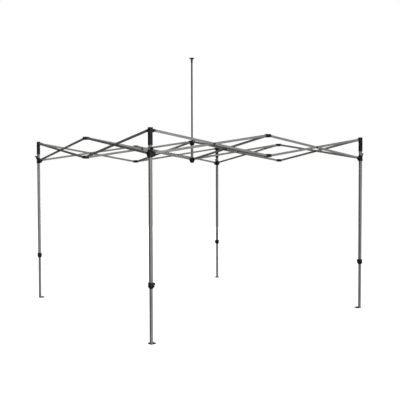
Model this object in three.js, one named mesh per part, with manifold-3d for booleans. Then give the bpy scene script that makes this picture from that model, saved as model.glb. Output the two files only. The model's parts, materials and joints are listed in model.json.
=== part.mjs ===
// Folding frame of a pop-up canopy: four telescopic legs joined by a ring of scissor spans, with four
// inner scissor spans that carry a central mast. Millimetres, +Z up. The origin is on the ground under
// the mast, and the four quarters are alike: each is the one before it turned by 90 degrees about Z.
import * as THREE from 'three';
import { mergeVertices } from 'three/addons/utils/BufferGeometryUtils.js';
import Module from 'manifold-3d';

const wasm = await Module();
wasm.setup();

// ---- driving dimensions ----
const LEG_SPACING = 2950;          // centre to centre of neighbouring legs
const HIGH_PIVOT_Z = 2055;         // pivots of the top brackets, upper connectors and upper hub
const LOW_PIVOT_Z = 1840;          // pivots of the sliders, lower connectors and lower hub
const CORNER_PIVOT = 46;           // leg centre to a bar's pivot
const CONNECTOR_PIVOT = 28;        // mid-side connector centre to a side bar's pivot
const HUB_PIVOT = 34;              // mast axis to a spoke bar's pivot
const BAR_HEIGHT = 25;
const BAR_THICK = 12;
const BAR_WALL = 1;
const BAR_GAP = 1;                 // between the two bars that cross
const OUTER_LEG = 30;              // side of the outer leg's square tube
const OUTER_LEG_WALL = 1.5;
const INNER_LEG = 25;
const INNER_LEG_WALL = 1.2;
const INNER_LEG_TOP = 1050;
const LOCK_BOTTOM = 540;
const LOCK_TOP = 598;
const SLEEVE_BOTTOM = 1915;        // lower end of the top bracket's sleeve
const BRACKET_TOP = 2085;
const MAST_TOP = 3117;
const MAST_SQUARE = 25;
const MAST_ROD_RADIUS = 10.5;
const FOOT_THICK = 3;
const FIT = 0.3;                   // gap between pieces that touch

// ---- sizes that follow ----
const HALF = LEG_SPACING / 2;
const SPAN = HALF - CORNER_PIVOT - CONNECTOR_PIVOT;         // a bar's horizontal reach
const RISE = HIGH_PIVOT_Z - LOW_PIVOT_Z;
const BAR_LENGTH = Math.hypot(SPAN, RISE);                  // pivot to pivot
const BAR_SLOPE = Math.atan2(RISE, SPAN);
const PLANE = (BAR_THICK + BAR_GAP) / 2;                    // each bar's offset from the span's centre plane
const SPOKE_CONNECTOR_PIVOT = HALF - HUB_PIVOT - SPAN;      // connector centre to a spoke bar's pivot
const OUTER = OUTER_LEG / 2;
const OUTER_BORE = OUTER - OUTER_LEG_WALL;
const INNER = INNER_LEG / 2;
const INNER_BORE = INNER - INNER_LEG_WALL;
const NEAR = BAR_GAP / 2;                                   // a bar's face next to the centre plane
const FAR = NEAR + BAR_THICK;                               // and its other face
const SWING = 14.5;                                         // room that a bar's end needs around its pivot

const PIN_RADIUS = 3;
const PIN_HOLE_RADIUS = 3.9;
const RIVET_HEAD = { radius: 8, thick: 3 };
const CROSSING_CAP = { radius: 11, thick: 5 };
const HOLE_SIDES = 6;
const ROUND_SIDES = 10;

// ---- materials ----
const finish = (color, roughness, metalness) => new THREE.MeshStandardMaterial({ color, roughness, metalness });
const framePaint = finish('#8b8b85', 0.45, 0.6);
const mastPaint = finish('#66666a', 0.45, 0.6);
const footSteel = finish('#4a4a48', 0.5, 0.7);
const blackPlastic = finish('#17171a', 0.55, 0);

// ---- solids ----
// A closed geometry as a solid that can be joined and cut.
const solid = (geometry) => {
  const bare = geometry.clone();
  bare.deleteAttribute('normal');
  bare.deleteAttribute('uv');
  const merged = mergeVertices(bare, 1e-4);
  return new wasm.Manifold(new wasm.Mesh({
    numProp: 3,
    vertProperties: new Float32Array(merged.attributes.position.array),
    triVerts: new Uint32Array(merged.index.array),
  }));
};

// A block between two limits along each axis.
const block = ([x0, x1], [y0, y1], [z0, z1]) => solid(
  new THREE.BoxGeometry(x1 - x0, y1 - y0, z1 - z0).translate((x0 + x1) / 2, (y0 + y1) / 2, (z0 + z1) / 2),
);

// A square column of half-width `half` about the Z axis.
const column = (half, [z0, z1]) => block([-half, half], [-half, half], [z0, z1]);

// A square column that changes width from one end to the other.
const taper = (halfLow, halfHigh, [z0, z1]) => solid(
  new THREE.CylinderGeometry(halfHigh * Math.SQRT2, halfLow * Math.SQRT2, z1 - z0, 4)
    .rotateX(Math.PI / 2).rotateZ(Math.PI / 4).translate(0, 0, (z0 + z1) / 2),
);

// A round bar along X, Y or Z through `centre`, between two limits measured along its own axis.
const round = (axis, radius, [from, to], centre, sides = ROUND_SIDES) => {
  const shape = new THREE.CylinderGeometry(radius, radius, to - from, sides).translate(0, (from + to) / 2, 0);
  if (axis === 'x') shape.rotateZ(-Math.PI / 2);
  if (axis === 'z') shape.rotateX(Math.PI / 2);
  return solid(shape.translate(...centre));
};

// An outline drawn in X and Z, given thickness between two limits along Y.
const plate = (outline, [y0, y1]) => {
  const shape = new THREE.Shape(outline.map(([x, z]) => new THREE.Vector2(x, z)));
  const slab = new THREE.ExtrudeGeometry(shape, { depth: y1 - y0, bevelEnabled: false });
  return solid(slab.rotateX(Math.PI / 2).translate(0, y1, 0));
};

// A profile of [radius, z] points turned about the Z axis.
const turned = (profile, sides) => solid(
  new THREE.LatheGeometry(profile.map(([r, z]) => new THREE.Vector2(r, z)), sides).rotateX(Math.PI / 2),
);

const join = (...solids) => solids.reduce((whole, piece) => whole.add(piece));
const cut = (whole, ...tools) => tools.reduce((rest, tool) => rest.subtract(tool), whole);
const mirroredXY = (shape) => shape.rotate([0, 0, 90]).mirror([1, 0, 0]);   // swaps X and Y
const fourWays = (shape) => join(...[0, 90, 180, 270].map((turn) => shape.rotate([0, 0, turn])));

const geometryOf = (shape) => {
  const { vertProperties, triVerts } = shape.getMesh();
  const geometry = new THREE.BufferGeometry();
  geometry.setAttribute('position', new THREE.BufferAttribute(vertProperties, 3));
  geometry.setIndex(new THREE.BufferAttribute(triVerts, 1));
  return geometry;
};

// ---- truss bars, drawn along +X from their first pivot, centred on Y ----
const barTube = () => {
  const half = BAR_HEIGHT / 2;
  const nip = half * Math.tan(Math.PI / 8);
  const outline = [
    [-nip, -half], [BAR_LENGTH + nip, -half], [BAR_LENGTH + half, -nip], [BAR_LENGTH + half, nip],
    [BAR_LENGTH + nip, half], [-nip, half], [-half, nip], [-half, -nip],
  ];
  const inside = block(
    [-BAR_HEIGHT, BAR_LENGTH + BAR_HEIGHT],
    [-BAR_THICK / 2 + BAR_WALL, BAR_THICK / 2 - BAR_WALL],
    [-half + BAR_WALL, half - BAR_WALL],
  );
  return cut(plate(outline, [-BAR_THICK / 2, BAR_THICK / 2]), inside);
};
const barHole = (x) => round('y', PIN_HOLE_RADIUS, [-BAR_THICK, BAR_THICK], [x, 0, 0], HOLE_SIDES);

// The plain bar turns on the crossing pin; the pin bar carries that pin and its two caps.
const plainBar = () => cut(barTube(), barHole(0), barHole(BAR_LENGTH / 2), barHole(BAR_LENGTH));
const pinBar = () => {
  const face = BAR_THICK / 2;
  const beyond = face + BAR_GAP + BAR_THICK + FIT;
  const middle = [BAR_LENGTH / 2, 0, 0];
  return join(
    cut(barTube(), barHole(0), barHole(BAR_LENGTH)),
    round('y', PIN_RADIUS, [-face - 1, beyond + 1], middle, HOLE_SIDES),
    round('y', CROSSING_CAP.radius, [-face - CROSSING_CAP.thick, -face], middle),
    round('y', CROSSING_CAP.radius, [beyond, beyond + CROSSING_CAP.thick], middle),
  );
};

// ---- forks: two cheeks and a pin that hold a bar's end, opening along +X from a core's face ----
const CHEEK = 4;
const FORK_NOSE = 7.5;             // cheek left beyond the pivot
const FORK_HALF_HEIGHT = 15;

// side is +1 where the bar lies on the +Y side of the centre plane, -1 where it lies on the -Y side;
// `back` is the thickness of the cheek on the other side of that plane.
const fork = (pivotX, coreX, side, back) => {
  const span = [coreX - 1, pivotX + FORK_NOSE];
  const height = [-FORK_HALF_HEIGHT, FORK_HALF_HEIGHT];
  const along = (a, b) => (side > 0 ? [a, b] : [-b, -a]);
  const outerFace = FAR + NEAR + CHEEK;
  return join(
    block(span, along(FAR + NEAR, outerFace), height),
    block(span, along(-back, 0), height),
    round('y', PIN_RADIUS, along(-back / 2, outerFace - 1), [pivotX, 0, 0], HOLE_SIDES),
  );
};

// ---- mid-side connectors, centred on the side's middle; +Y points to the mast ----
const connector = (side) => {
  const core = CONNECTOR_PIVOT - SWING;
  const reach = CONNECTOR_PIVOT + FORK_NOSE;
  const height = [-FORK_HALF_HEIGHT, FORK_HALF_HEIGHT];
  const sideFork = fork(CONNECTOR_PIVOT, core, side, BAR_THICK);
  const spokeFork = fork(SPOKE_CONNECTOR_PIVOT, core, -side, CHEEK).rotate([0, 0, 90]);
  const spine = side > 0 ? [-BAR_THICK, FAR + NEAR + CHEEK] : [-FAR - NEAR - CHEEK, BAR_THICK + CHEEK];
  return join(
    block([-core, core], spine, height),
    block([-reach, reach], side > 0 ? [FAR + NEAR, FAR + NEAR + CHEEK] : [0, BAR_THICK], height),
    sideFork,
    sideFork.mirror([1, 0, 0]),
    spokeFork,
  );
};

// ---- hubs, centred on the mast axis at their pivots' height ----
const HUB_CORE = HUB_PIVOT - SWING;
const HUB_DISC_RADIUS = 32;
const HUB_SIDES = 16;
const hubForks = (side) => fourWays(fork(HUB_PIVOT, HUB_CORE, side, CHEEK));

const upperHub = () => {
  const bore = MAST_SQUARE / 2 + 0.7;
  const discLow = BAR_HEIGHT / 2 + 1.2;
  const disc = turned([[0, discLow], [HUB_DISC_RADIUS, discLow], [HUB_DISC_RADIUS, 16], [28, 18], [0, 18]], HUB_SIDES);
  const core = join(column(HUB_CORE, [-30, 16]), taper(HUB_CORE - 3, HUB_CORE, [-43, -30]));
  return cut(join(core, disc, hubForks(-1)), column(bore, [-50, 30]));
};

const lowerHub = () => {
  const bore = MAST_SQUARE / 2 + FIT;
  const bowlTop = -BAR_HEIGHT / 2 - 1.2;
  const bowl = turned([[0, -50], [18, -50], [29, -38], [HUB_DISC_RADIUS, bowlTop - 6], [HUB_DISC_RADIUS, bowlTop], [0, bowlTop]], HUB_SIDES);
  return cut(join(column(HUB_CORE, [-40, 16]), bowl, hubForks(1)), column(bore, [-40, 30]));
};

// ---- mast: a square tube in the lower hub, and a round tube that slides in it ----
const MAST_FLOOR = LOW_PIVOT_Z - 40 + FIT;
const MAST_SQUARE_TOP = 2066;
const MAST_BUSH_DEPTH = 16;
const MAST_SIDES = 12;

const mastLower = () => {
  const inside = MAST_SQUARE / 2 - 1.5;
  return cut(
    column(MAST_SQUARE / 2, [MAST_FLOOR, MAST_SQUARE_TOP]),
    column(inside, [MAST_FLOOR - 1, MAST_SQUARE_TOP - MAST_BUSH_DEPTH]),
    round('z', MAST_ROD_RADIUS + 0.8, [MAST_FLOOR, MAST_SQUARE_TOP + 1], [0, 0, 0], MAST_SIDES),
  );
};

const mastUpper = () => {
  const bottom = MAST_FLOOR + 2.7;
  const bore = MAST_ROD_RADIUS - 1.2;
  const cap = { radius: 32, thick: 12, collarRadius: 13, collarLength: 45 };
  const capLow = MAST_TOP - cap.thick;
  return turned([
    [bore, bottom], [MAST_ROD_RADIUS, bottom], [MAST_ROD_RADIUS, capLow - cap.collarLength],
    [cap.collarRadius, capLow - cap.collarLength], [cap.collarRadius, capLow], [cap.radius - 2, capLow],
    [cap.radius, capLow + 2], [cap.radius, MAST_TOP - 4], [cap.radius - 4, MAST_TOP],
    [0, MAST_TOP], [0, capLow], [bore, capLow], [bore, bottom],
  ], MAST_SIDES);
};

// ---- corner pieces, centred on the leg; +X and +Y run along the two sides that meet there ----
const LOCK = { half: 20, pinZ: 581, noseHalf: 16.5, noseHeight: 14 };
const LOCK_BOSS = { reach: 33, halfWidth: 13, zLow: 566, zHigh: 596 };
const BUTTON = { tail: 22, face: 42, halfWidth: 9, zLow: 571, zHigh: 591 };
const PULL_PIN_Z = 1884;
const PULL_PIN = { radius: 4, knobRadius: 9, knobLength: 18, shankLength: 14 };
const PIN_HOLE = 4.5;
const HEIGHT_STEP = 100;

// The outer leg and, pressed on its foot, the housing of the leg lock.
const outerLeg = () => {
  const bossWall = 3.5;
  const pocket = block(
    [OUTER + 1, LOCK_BOSS.reach + 1],
    [-LOCK_BOSS.halfWidth + bossWall, LOCK_BOSS.halfWidth - bossWall],
    [LOCK_BOSS.zLow + bossWall + 1, LOCK_BOSS.zHigh - bossWall - 1],
  );
  const housing = join(
    column(LOCK.half, [LOCK_BOTTOM + LOCK.noseHeight, LOCK_TOP]),
    taper(LOCK.noseHalf, LOCK.half, [LOCK_BOTTOM, LOCK_BOTTOM + LOCK.noseHeight]),
    block(
      [0, LOCK_BOSS.reach],
      [-LOCK_BOSS.halfWidth, LOCK_BOSS.halfWidth],
      [LOCK_BOSS.zLow, LOCK_BOSS.zHigh],
    ),
  );
  const tube = column(OUTER, [LOCK_BOTTOM + LOCK.noseHeight, BRACKET_TOP - 12]);
  return cut(
    join(cut(housing, pocket), tube),
    column(OUTER_BORE, [LOCK_BOTTOM - 1, BRACKET_TOP]),
    round('x', PIN_HOLE, [0, OUTER + 2], [0, 0, LOCK.pinZ], HOLE_SIDES),
    round('y', PIN_HOLE, [-OUTER - 1, 0], [0, 0, PULL_PIN_Z], HOLE_SIDES),
  );
};

// The inner leg, with its foot plate welded on: a peg hole in the plate, and a hole for each height.
const FOOT = { back: 16, front: 46, pegAt: 33, pegRadius: 5 };
const innerLeg = () => {
  const foot = cut(
    block([-FOOT.back, FOOT.front], [-FOOT.back, FOOT.front], [0, FOOT_THICK]),
    round('z', FOOT.pegRadius, [-1, FOOT_THICK + 1], [FOOT.pegAt, FOOT.pegAt, 0], HOLE_SIDES),
  );
  const tube = cut(column(INNER, [FOOT_THICK - 1, INNER_LEG_TOP]), column(INNER_BORE, [FOOT_THICK, INNER_LEG_TOP + 1]));
  const heightHoles = [0, 1, 2].map(
    (step) => round('x', PIN_HOLE, [0, INNER + 1], [0, 0, LOCK.pinZ - step * HEIGHT_STEP], HOLE_SIDES),
  );
  return cut(join(foot, tube), ...heightHoles);
};

// A lug beside a bar's end, with the pivot pin and its head; the lug is on the +Y side of the centre
// plane where side is +1, and the bar on the other.
const lug = (outline, side, pivotZ) => {
  const along = (a, b) => (side > 0 ? [a, b] : [-b, -a]);
  const pivot = [CORNER_PIVOT, 0, pivotZ];
  const headFrom = FAR + FIT;
  return join(
    plate(outline.map(([x, z]) => [x, z + pivotZ]), along(0, BAR_THICK)),
    round('y', PIN_RADIUS, along(-headFrom - 1, BAR_THICK / 2), pivot, HOLE_SIDES),
    round('y', RIVET_HEAD.radius, along(-headFrom - RIVET_HEAD.thick, -headFrom), pivot),
  );
};

// The bracket fixed on the leg's top: a cap, a long sleeve round the leg, and two lugs.
const topBracket = () => {
  const cap = { half: 24, low: HIGH_PIVOT_Z - 12, shoulder: 6 };
  const sleeve = { half: 17.3, chamferHalf: 18.5 };
  const lugOutline = [[sleeve.half - 1, -20], [38, -15], [54, -6], [54, 7], [47, 14], [sleeve.half - 1, 16]];
  const oneLug = lug(lugOutline, 1, HIGH_PIVOT_Z);
  return cut(
    join(
      column(sleeve.half, [SLEEVE_BOTTOM, cap.low + 1]),
      taper(sleeve.half, cap.half, [cap.low - 8, cap.low]),
      column(cap.half, [cap.low, BRACKET_TOP - cap.shoulder]),
      taper(cap.half, cap.half - cap.shoulder, [BRACKET_TOP - cap.shoulder, BRACKET_TOP]),
      oneLug,
      mirroredXY(oneLug),
    ),
    column(OUTER + FIT, [SLEEVE_BOTTOM - 1, BRACKET_TOP - 12 + FIT]),
  );
};

// The slider runs on the outer leg: a body, two lugs and the boss that guides the pull pin.
const SLIDER = { half: 21, bore: OUTER + 0.6, low: -42, high: 28 };
const PULL_BOSS = { reach: 30, halfWidth: 11, halfHeight: 12 };
const slider = () => {
  const lugOutline = [[SLIDER.half - 1, -36], [36, -27], [54, -7], [54, 7], [47, 13], [SLIDER.half - 1, 16]];
  const oneLug = lug(lugOutline, -1, LOW_PIVOT_Z);
  return cut(
    join(
      column(SLIDER.half, [LOW_PIVOT_Z + SLIDER.low + 10, LOW_PIVOT_Z + SLIDER.high]),
      taper(SLIDER.half - 3, SLIDER.half, [LOW_PIVOT_Z + SLIDER.low, LOW_PIVOT_Z + SLIDER.low + 10]),
      block(
        [-PULL_BOSS.halfWidth, PULL_BOSS.halfWidth],
        [-PULL_BOSS.reach, 0],
        [LOW_PIVOT_Z + 10, PULL_PIN_Z + PULL_BOSS.halfHeight],
      ),
      oneLug,
      mirroredXY(oneLug),
    ),
    column(SLIDER.bore, [LOW_PIVOT_Z - 60, LOW_PIVOT_Z + 100]),
    round('y', PULL_PIN.radius + 0.6, [-PULL_BOSS.reach - 1, 0], [0, 0, PULL_PIN_Z], ROUND_SIDES),
  );
};

const pullPin = () => {
  const nose = -SLIDER.bore;
  const knobFrom = -PULL_BOSS.reach - FIT;
  return join(
    round('y', PULL_PIN.radius, [knobFrom - 1, nose], [0, 0, PULL_PIN_Z]),
    round('y', PULL_PIN.knobRadius, [knobFrom - PULL_PIN.knobLength, knobFrom], [0, 0, PULL_PIN_Z]),
  );
};

const lockButton = () => {
  const middle = (BUTTON.zLow + BUTTON.zHigh) / 2;
  const half = (BUTTON.zHigh - BUTTON.zLow) / 2;
  const outline = [
    [BUTTON.tail, -half], [BUTTON.face - 4, -half], [BUTTON.face, -half + 5],
    [BUTTON.face, half - 5], [BUTTON.face - 4, half], [BUTTON.tail, half],
  ];
  return plate(outline.map(([x, z]) => [x, z + middle]), [-BUTTON.halfWidth, BUTTON.halfWidth]);
};

// ---- assembly ----
const canopy = new THREE.Group();
const shapes = {
  plainBar: geometryOf(plainBar()),
  pinBar: geometryOf(pinBar()),
  upperConnector: geometryOf(connector(1)),
  lowerConnector: geometryOf(connector(-1)),
  outerLeg: geometryOf(outerLeg()),
  innerLeg: geometryOf(innerLeg()),
  topBracket: geometryOf(topBracket()),
  slider: geometryOf(slider()),
  pullPin: geometryOf(pullPin()),
  lockButton: geometryOf(lockButton()),
};

const put = (parent, name, geometry, material, position = [0, 0, 0]) => {
  const mesh = new THREE.Mesh(geometry, material);
  mesh.name = name;
  mesh.position.set(...position);
  parent.add(mesh);
  return mesh;
};

// A crossed pair of bars from x0 to x0 + SPAN: the pin bar on the -Y side falls or rises along +X,
// and the plain bar on the +Y side does the opposite.
const addScissor = (parent, x0, pinBarFalls, pinBarName, plainBarName) => {
  const fall = pinBarFalls ? 1 : -1;
  const start = (falls) => (falls > 0 ? HIGH_PIVOT_Z : LOW_PIVOT_Z);
  put(parent, pinBarName, shapes.pinBar, framePaint, [x0, -PLANE, start(fall)]).rotation.y = fall * BAR_SLOPE;
  put(parent, plainBarName, shapes.plainBar, framePaint, [x0, PLANE, start(-fall)]).rotation.y = -fall * BAR_SLOPE;
};

const addCorner = (quarter, corner) => {
  const leg = new THREE.Group();
  leg.position.set(-HALF, -HALF, 0);
  quarter.add(leg);
  put(leg, `outer_leg_${corner}`, shapes.outerLeg, framePaint);
  put(leg, `inner_leg_${corner}`, shapes.innerLeg, framePaint);
  put(leg, `top_bracket_${corner}`, shapes.topBracket, blackPlastic);
  put(leg, `slider_${corner}`, shapes.slider, blackPlastic);
  put(leg, `pull_pin_${corner}`, shapes.pullPin, blackPlastic);
  put(leg, `lock_button_${corner}`, shapes.lockButton, blackPlastic);
};

const addSide = (quarter, side) => {
  const span = new THREE.Group();
  span.position.set(0, -HALF, 0);
  quarter.add(span);
  addScissor(span, -HALF + CORNER_PIVOT, true, `${side}_start_top_bar`, `${side}_start_slider_bar`);
  addScissor(span, CONNECTOR_PIVOT, false, `${side}_end_top_bar`, `${side}_end_slider_bar`);
  put(span, `${side}_upper_connector`, shapes.upperConnector, blackPlastic, [0, 0, HIGH_PIVOT_Z]);
  put(span, `${side}_lower_connector`, shapes.lowerConnector, blackPlastic, [0, 0, LOW_PIVOT_Z]);
};

const addSpoke = (quarter, side) => {
  const spoke = new THREE.Group();
  spoke.rotation.z = -Math.PI / 2;
  quarter.add(spoke);
  addScissor(spoke, HUB_PIVOT, true, `${side}_spoke_upper_bar`, `${side}_spoke_lower_bar`);
};

const QUARTERS = [['front_left', 'front'], ['front_right', 'right'], ['back_right', 'back'], ['back_left', 'left']];
QUARTERS.forEach(([corner, side], index) => {
  const quarter = new THREE.Group();
  quarter.rotation.z = index * Math.PI / 2;
  canopy.add(quarter);
  addCorner(quarter, corner);
  addSide(quarter, side);
  addSpoke(quarter, side);
});

put(canopy, 'upper_hub', geometryOf(upperHub()), blackPlastic, [0, 0, HIGH_PIVOT_Z]);
put(canopy, 'lower_hub', geometryOf(lowerHub()), blackPlastic, [0, 0, LOW_PIVOT_Z]);
put(canopy, 'mast_lower_tube', geometryOf(mastLower()), framePaint);
put(canopy, 'mast_upper_tube', geometryOf(mastUpper()), mastPaint);

export default canopy;
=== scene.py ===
# %% [markdown]
# # The folding frame of a pop-up canopy
#
# The real object is a steel frame that one pair of hands can open: four telescopic legs, a ring of
# scissor spans between them, four more scissor spans that meet at two hubs, and a mast in the middle.
# Tubes are painted steel and everything that a bar turns in is black moulded nylon.
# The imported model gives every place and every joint. This lesson makes the surfaces that are seen:
# rounded tubes, moulded brackets, bolts, welds, and the finishes on them.

# %% Load the frame
import json
import math

import bpy
import numpy as np
from mathutils import Matrix, Vector


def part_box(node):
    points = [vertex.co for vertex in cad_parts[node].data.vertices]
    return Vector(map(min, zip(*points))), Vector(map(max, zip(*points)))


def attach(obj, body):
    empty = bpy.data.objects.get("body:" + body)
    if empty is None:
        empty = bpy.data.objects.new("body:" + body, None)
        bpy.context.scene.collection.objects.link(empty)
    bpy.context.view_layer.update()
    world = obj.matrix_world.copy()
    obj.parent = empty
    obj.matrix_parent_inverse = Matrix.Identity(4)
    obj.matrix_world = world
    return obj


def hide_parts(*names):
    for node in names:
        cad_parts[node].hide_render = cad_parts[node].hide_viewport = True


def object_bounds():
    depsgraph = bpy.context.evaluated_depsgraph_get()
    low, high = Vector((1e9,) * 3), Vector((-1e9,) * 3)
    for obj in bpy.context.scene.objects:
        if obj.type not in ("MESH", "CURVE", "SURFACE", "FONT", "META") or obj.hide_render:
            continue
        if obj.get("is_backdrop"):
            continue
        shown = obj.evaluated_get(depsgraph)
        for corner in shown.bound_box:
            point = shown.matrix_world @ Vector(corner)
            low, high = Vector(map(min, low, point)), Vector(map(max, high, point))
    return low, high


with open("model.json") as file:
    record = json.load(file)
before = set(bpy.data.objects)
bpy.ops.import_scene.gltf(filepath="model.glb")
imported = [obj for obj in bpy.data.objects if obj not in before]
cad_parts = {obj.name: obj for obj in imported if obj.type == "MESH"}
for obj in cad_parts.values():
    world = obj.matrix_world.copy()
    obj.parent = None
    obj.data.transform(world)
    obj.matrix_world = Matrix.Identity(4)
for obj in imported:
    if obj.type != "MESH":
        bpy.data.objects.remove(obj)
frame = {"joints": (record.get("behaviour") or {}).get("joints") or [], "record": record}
cad_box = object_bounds()
MM = 0.001
print("CAD box", cad_box)

# %% [markdown]
# ## Driving dimensions
#
# Nothing is measured twice. The pivots' places are the joints' places in the imported record, the leg's
# place is that of its foot mount, and the rest comes from the boxes of the nodes. Only sizes that the
# imported model doesn't carry, such as the radius of a rounded edge, are given here.
# Shapes are worked out in millimetres, as on a drawing, and become metres when a mesh is made.

# %% Places from the frame
joint_at = {j["name"]: np.array(j.get("pos_m", (0, 0, 0)), float) / MM for j in frame["joints"]}
mount_at = {m["name"]: np.array(m["pos_m"], float) / MM for m in frame["record"]["mounts"]}


def heights(node):
    """Lowest and highest z of a node at rest."""
    return [corner.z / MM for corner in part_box(node)]


leg_half = -mount_at["foot_front_left"][0]
mast_top = mount_at["mast_cap_top"][2]
bracket_top = mount_at["bracket_top_front_left"][2]
high_z = joint_at["frame_fold"][2]
low_z = joint_at["lower_hub_pivot"][2]
corner_pivot = leg_half + joint_at["front_left_bracket_pivot"][0]
connector_pivot = -joint_at["front_start_bar_pivot"][0]
hub_pivot = -joint_at["frame_fold"][1]
spoke_connector_pivot = leg_half + joint_at["front_upper_connector_pivot"][1]
plane = -joint_at["frame_fold"][0]
bar_reach = leg_half - corner_pivot - connector_pivot
bar_length = math.hypot(bar_reach, high_z - low_z)
bar_slope = math.atan2(high_z - low_z, bar_reach)
quarters = [
    ("front_left", "front"),
    ("front_right", "right"),
    ("back_right", "back"),
    ("back_left", "left"),
]
print(f"legs {2 * leg_half:.0f} mm apart")
print(f"bars {bar_length:.1f} mm long, at {math.degrees(bar_slope):.2f} degrees")

# %% Sizes of tubes and edges
# A leg is given by half its width, a bar by its whole height and thickness.
bar_height = 25
bar_thick = 12
bar_corner = 2.4
outer_leg = 15
outer_leg_wall = 1.5
inner_leg = 12.5
inner_leg_wall = 1.2
inner_leg_top = heights("inner_leg_front_left")[1]
lock_bottom, leg_top = heights("outer_leg_front_left")
lock_top = lock_bottom + 58
sleeve_bottom = heights("top_bracket_front_left")[0]

# %% [markdown]
# ## Shells
#
# Every piece is one or more closed shells. A shell is a grid of points worked out as a whole array: its
# rows run along one parameter and each row is a closed outline. Two kinds make nearly everything here.
# A *skin* has its first and last rows closed by flat faces, as on a bar or a knob. A *ring* joins its
# last row to its first, as on a hollow tube, so that it has an inside and an outside wall.
# With each point goes a wear value, 1 on a rounded edge and 0 on a flat, which the finishes read later.

# %% Closed shells from rows of points
def between(index, after):
    """Quads that join each row of point numbers to the row after it, all the way round."""
    quads = np.stack([index, np.roll(index, -1, 1), np.roll(after, -1, 1), after], -1)
    return quads.reshape(-1, 4).tolist()


def skin(rows, wear):
    """Rows (n, m, 3) of closed outlines; quads join each row to the next, and flat faces close the ends."""
    index = np.arange(wear.size).reshape(wear.shape)
    faces = between(index[:-1], index[1:]) + [index[0][::-1].tolist(), index[-1].tolist()]
    return rows.reshape(-1, 3), faces, wear.reshape(-1)


def ring(rows, wear):
    """Rows (n, m, 3) of closed outlines that also close on themselves: a wall with an inside."""
    index = np.arange(wear.size).reshape(wear.shape)
    return rows.reshape(-1, 3), between(index, np.roll(index, -1, 0)), wear.reshape(-1)


def moved(shell, offset):
    """The shell shifted by a vector."""
    return shell[0] + np.asarray(offset, float), shell[1], shell[2]


def quarter_turned(shell, turns):
    """The shell turned about the mast by that many right angles: (x, y) becomes (-y, x) each time."""
    points = shell[0].copy()
    for _ in range(turns % 4):
        points = np.stack([-points[:, 1], points[:, 0], points[:, 2]], 1)
    return points, shell[1], shell[2]


def swapped(shell):
    """The shell mirrored in the diagonal plane x = y, for the lug on a leg's other side."""
    return shell[0][:, [1, 0, 2]], shell[1], shell[2]


def mirrored_x(shell):
    """The shell mirrored in the plane x = 0."""
    return shell[0] * [-1, 1, 1], shell[1], shell[2]


def outward(points, faces):
    """Faces turned round if the shell's signed volume, summed over triangle fans, is negative."""
    fans = np.array([(f[0], f[i], f[i + 1]) for f in faces for i in range(1, len(f) - 1)])
    a, b, c = (points[fans[:, i]] for i in range(3))
    volume = np.einsum("ij,ij->i", a, np.cross(b, c)).sum()
    return faces if volume > 0 else [f[::-1] for f in faces]


# %% [markdown]
# ## Outlines
#
# An outline is drawn as a few corner points. Each corner then becomes an arc tangent to its two sides,
# which is how a draughtsman rounds it. A point a little way along each side of the arc keeps the flats
# flat when the surface is shaded smoothly, and the wear close to the edge.

# %% Rounded outlines
def rounded(corners, radius, steps=4, margin=1.0):
    """Outline through the corners with arcs of the given radius; returns points (m, 2) and wear (m,)."""
    at = np.asarray(corners, float)
    to_last = np.roll(at, 1, 0) - at
    to_next = np.roll(at, -1, 0) - at
    length = np.stack([np.linalg.norm(to_last, axis=1), np.linalg.norm(to_next, axis=1)])
    to_last /= length[0][:, None]
    to_next /= length[1][:, None]
    half = np.arccos(np.clip((to_last * to_next).sum(1), -1, 1)) / 2
    size = np.broadcast_to(np.asarray(radius, float), half.shape)
    size = np.minimum(size, np.tan(half) * length.min(0) * 0.45)
    tangent = size / np.tan(half)
    middle = to_last + to_next
    middle /= np.linalg.norm(middle, axis=1)[:, None]
    centre = at + middle * (size / np.sin(half))[:, None]
    first = at + to_last * tangent[:, None] - centre
    last = at + to_next * tangent[:, None] - centre
    sweep = np.pi - 2 * half
    t = np.linspace(0, 1, steps + 1)[None, :]
    weight_first = (np.sin((1 - t) * sweep[:, None]) / np.sin(sweep)[:, None])[..., None]
    weight_last = (np.sin(t * sweep[:, None]) / np.sin(sweep)[:, None])[..., None]
    arcs = centre[:, None] + weight_first * first[:, None] + weight_last * last[:, None]
    room = np.minimum(margin, (length - tangent) * 0.2)
    before = arcs[:, :1] + (to_last * room[0][:, None])[:, None]
    after = arcs[:, -1:] + (to_next * room[1][:, None])[:, None]
    points = np.concatenate([before, arcs, after], 1).reshape(-1, 2)
    wear = np.concatenate([[0.0], np.sin(np.linspace(0.25, np.pi - 0.25, steps + 1)), [0.0]])
    return points, np.tile(wear, len(at))


def rectangle(half_width, half_height, radius, steps=4):
    """Rounded rectangle about the origin."""
    w, h = half_width, half_height
    return rounded([(-w, -h), (w, -h), (w, h), (-w, h)], radius, steps)


def circle(radius, sides=32):
    """Regular outline with that many points."""
    angle = np.arange(sides) * 2 * np.pi / sides
    return np.stack([np.cos(angle), np.sin(angle)], 1) * radius, np.zeros(sides)


def inset(points, distance):
    """Outline moved inwards along the mean of its neighbouring sides' normals."""
    area = np.sum(points[:, 0] * np.roll(points[:, 1], -1) - points[:, 1] * np.roll(points[:, 0], -1))
    side = np.roll(points, -1, 0) - points
    side /= np.maximum(np.linalg.norm(side, axis=1), 1e-12)[:, None]
    normal = np.stack([-side[:, 1], side[:, 0]], 1) * np.sign(area)
    mean = normal + np.roll(normal, 1, 0)
    mean /= np.maximum((mean * mean).sum(1) / 2, 1e-9)[:, None]
    return points + mean * distance


# %% [markdown]
# ## Slabs, tubes, turned forms
#
# A slab is an outline with thickness and quarter-round edges: as a quarter circle runs from the flat to
# the side wall, the outline shrinks by the edge radius times one minus its sine. A tube is the same
# outline twice, outside and inside. A turned form is a profile of radius and height spun about an axis.

# %% Solids from outlines
AXES = {"x": (2, 0, 1), "y": (0, 2, 1), "z": (0, 1, 2)}


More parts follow.
